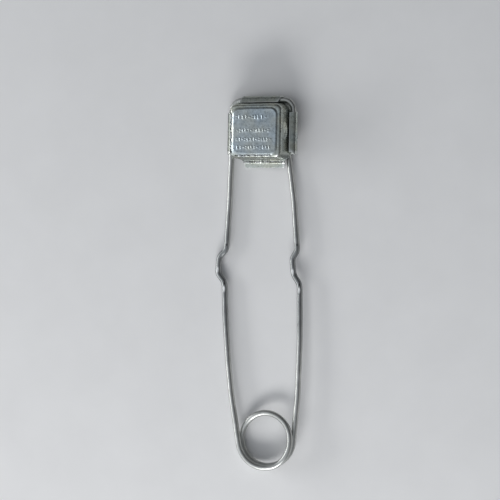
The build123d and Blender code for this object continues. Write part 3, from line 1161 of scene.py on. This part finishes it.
def holder_material():
    mat, nt, b = material("bright_plated_holder")
    v = attribute(nt, "dmm")
    big = noise_tex(nt, v, 0.9, 3.0)
    fine = noise_tex(nt, v, 8.0, 3.0, 0.6)
    col = ramp(nt, big, [(0.35, (0.62, 0.62, 0.60)), (0.65, (0.76, 0.76, 0.74))])
    geo = node(nt, "ShaderNodeNewGeometry")
    # painted shade: darker in the knurl's grooves and other hollows
    crease_shade_painted = ramp(nt, geo.outputs["Pointiness"], [(0.42, 0.35), (0.50, 1.0)])
    col = mix_col(nt, "MULTIPLY", 0.9, col, crease_shade_painted)
    nt.links.new(col, b.inputs["Base Color"])
    b.inputs["Metallic"].default_value = 1.0
    r = to_range(nt, fine, 0.3, 0.7, 0.16, 0.30)
    nt.links.new(r, b.inputs["Roughness"])
    bump(nt, b, [(fine, 0.006, 0.4)])
    return mat


def flint_material():
    mat, nt, b = material("flint_alloy_rod")
    v = attribute(nt, "dmm")
    big = noise_tex(nt, v, 1.3, 4.0, 0.6)
    fine = noise_tex(nt, v, 6.5, 4.0, 0.7)
    col = ramp(nt, big, [(0.32, (0.070, 0.060, 0.052)), (0.55, (0.120, 0.105, 0.092)), (0.75, (0.20, 0.18, 0.16))])
    col = mix_col(nt, "MULTIPLY", 0.6, col, ramp(nt, fine, [(0.32, 0.5), (0.52, 1.0)]))
    nt.links.new(col, b.inputs["Base Color"])
    b.inputs["Metallic"].default_value = 0.55
    r = to_range(nt, fine, 0.3, 0.7, 0.5, 0.75)
    nt.links.new(r, b.inputs["Roughness"])
    bump(nt, b, [(fine, 0.05, 0.6)])
    return mat


wire_mat, cup_mat = wire_material(), cup_material()
for ob in (wire_fixed, wire_coil, wire_striker):
    ob.data.materials.append(wire_mat)
cup.data.materials.append(cup_mat)
file_ob.data.materials.append(file_material())
holder.data.materials.append(holder_material())
flint_ob.data.materials.append(flint_material())

# --------------------------------------------------------------------------
# who moves with what
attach(wire_fixed, "handle")
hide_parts("fixed_arm")
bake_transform(wire_coil)
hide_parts("spring_coil")
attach(wire_striker, "striker")
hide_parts("striker_arm")
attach(cup, "handle")
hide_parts("flint_cup")
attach(file_ob, "handle")
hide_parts("file_plate")
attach(holder, "striker")
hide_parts("flint_holder")
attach(flint_ob, "striker")
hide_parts("flint")

# --------------------------------------------------------------------------
# floor, light and camera
fm = bpy.data.meshes.new("floor")
s = 3.0
fm.from_pydata([(-s, -s, -0.0002), (s, -s, -0.0002), (s, s, -0.0002), (-s, s, -0.0002)], [], [(0, 1, 2, 3)])
floor = bpy.data.objects.new("floor", fm)
coll.objects.link(floor)
mat, nt, b = material("pale_floor")
tc = node(nt, "ShaderNodeTexCoord")
n = noise_tex(nt, tc.outputs["Object"], 35.0, 3.0)
nt.links.new(ramp(nt, n, [(0.3, (0.80, 0.80, 0.80)), (0.7, (0.83, 0.83, 0.83))]), b.inputs["Base Color"])
b.inputs["Roughness"].default_value = 0.85
b.inputs["Specular IOR Level"].default_value = 0.2
fm.materials.append(mat)


def area(name, loc, target, size, power, color=(1, 1, 1), size_y=None):
    L = bpy.data.lights.new(name, "AREA")
    L.shape = "RECTANGLE"
    L.size = size
    L.size_y = size_y or size
    L.energy = power
    L.color = color
    ob = bpy.data.objects.new(name, L)
    ob.location = loc
    ob.rotation_mode = "QUATERNION"
    ob.rotation_quaternion = (Vector(target) - Vector(loc)).to_track_quat("-Z", "Y")
    coll.objects.link(ob)
    return ob


area("key", (-0.10, -0.80, 0.42), (0, 0, 0.01), 0.60, 4.6, size_y=0.20)
area("left", (-0.76, 0.02, 0.27), (0, 0, 0.01), 0.55, 1.7, size_y=0.14)
area("right_rim", (0.80, 0.00, 0.11), (0, 0, 0.01), 0.70, 0.35, size_y=0.08)

# a soft studio: light on the left and in front, falling off to the right and back
world = bpy.data.worlds.new("studio")
bpy.context.scene.world = world
world.use_nodes = True
wt = world.node_tree
bg = wt.nodes["Background"]
tc = wt.nodes.new("ShaderNodeTexCoord")
dot = wt.nodes.new("ShaderNodeVectorMath")
dot.operation = "DOT_PRODUCT"
dot.inputs[1].default_value = tuple(Vector((-0.66, -0.60, 0.46)).normalized())
wt.links.new(tc.outputs["Generated"], dot.inputs[0])
mr = wt.nodes.new("ShaderNodeMapRange")
mr.inputs["From Min"].default_value = -1.0
mr.inputs["From Max"].default_value = 1.0
wt.links.new(dot.outputs["Value"], mr.inputs["Value"])
wr = wt.nodes.new("ShaderNodeValToRGB")
el = wr.color_ramp.elements
for p in (0.35, 0.62, 0.8):
    el.new(p)
for e, (p, c) in zip(el, [(0.0, (0.035, 0.035, 0.038)), (0.35, (0.075, 0.075, 0.08)), (0.62, (0.24, 0.25, 0.26)),
                          (0.80, (0.42, 0.45, 0.49)), (1.0, (0.98, 1.0, 1.03))]):
    e.position = p
    e.color = (*c, 1.0)
wt.links.new(mr.outputs["Result"], wr.inputs["Fac"])
wt.links.new(wr.outputs["Color"], bg.inputs["Color"])
bg.inputs["Strength"].default_value = 1.0
bpy.context.scene.view_settings.view_transform = "Standard"

cam_data = bpy.data.cameras.new("camera")
cam = bpy.data.objects.new("camera", cam_data)
coll.objects.link(cam)
cam_data.sensor_width = 36.0
cam_data.lens = 138.4615
cam_data.clip_start, cam_data.clip_end = 0.05, 10.0
right_v = Vector((0.9818375708869466, 0.015707317311820675, -0.18907211475436037))
up_v = Vector((-0.015423937087429994, 0.9998766324816606, 0.0029701821252615195))
fwd_v = Vector((-0.1890954429898913, 0.0, -0.9819587126964436))
rot = Matrix((right_v, up_v, -fwd_v)).transposed()
cam.rotation_mode = "QUATERNION"
cam.rotation_quaternion = rot.to_quaternion()
cam.location = Vector((184.6472924157814, 17.114146700545604, 988.3660207091684)) * MM
bpy.context.scene.camera = cam

bpy.context.view_layer.update()
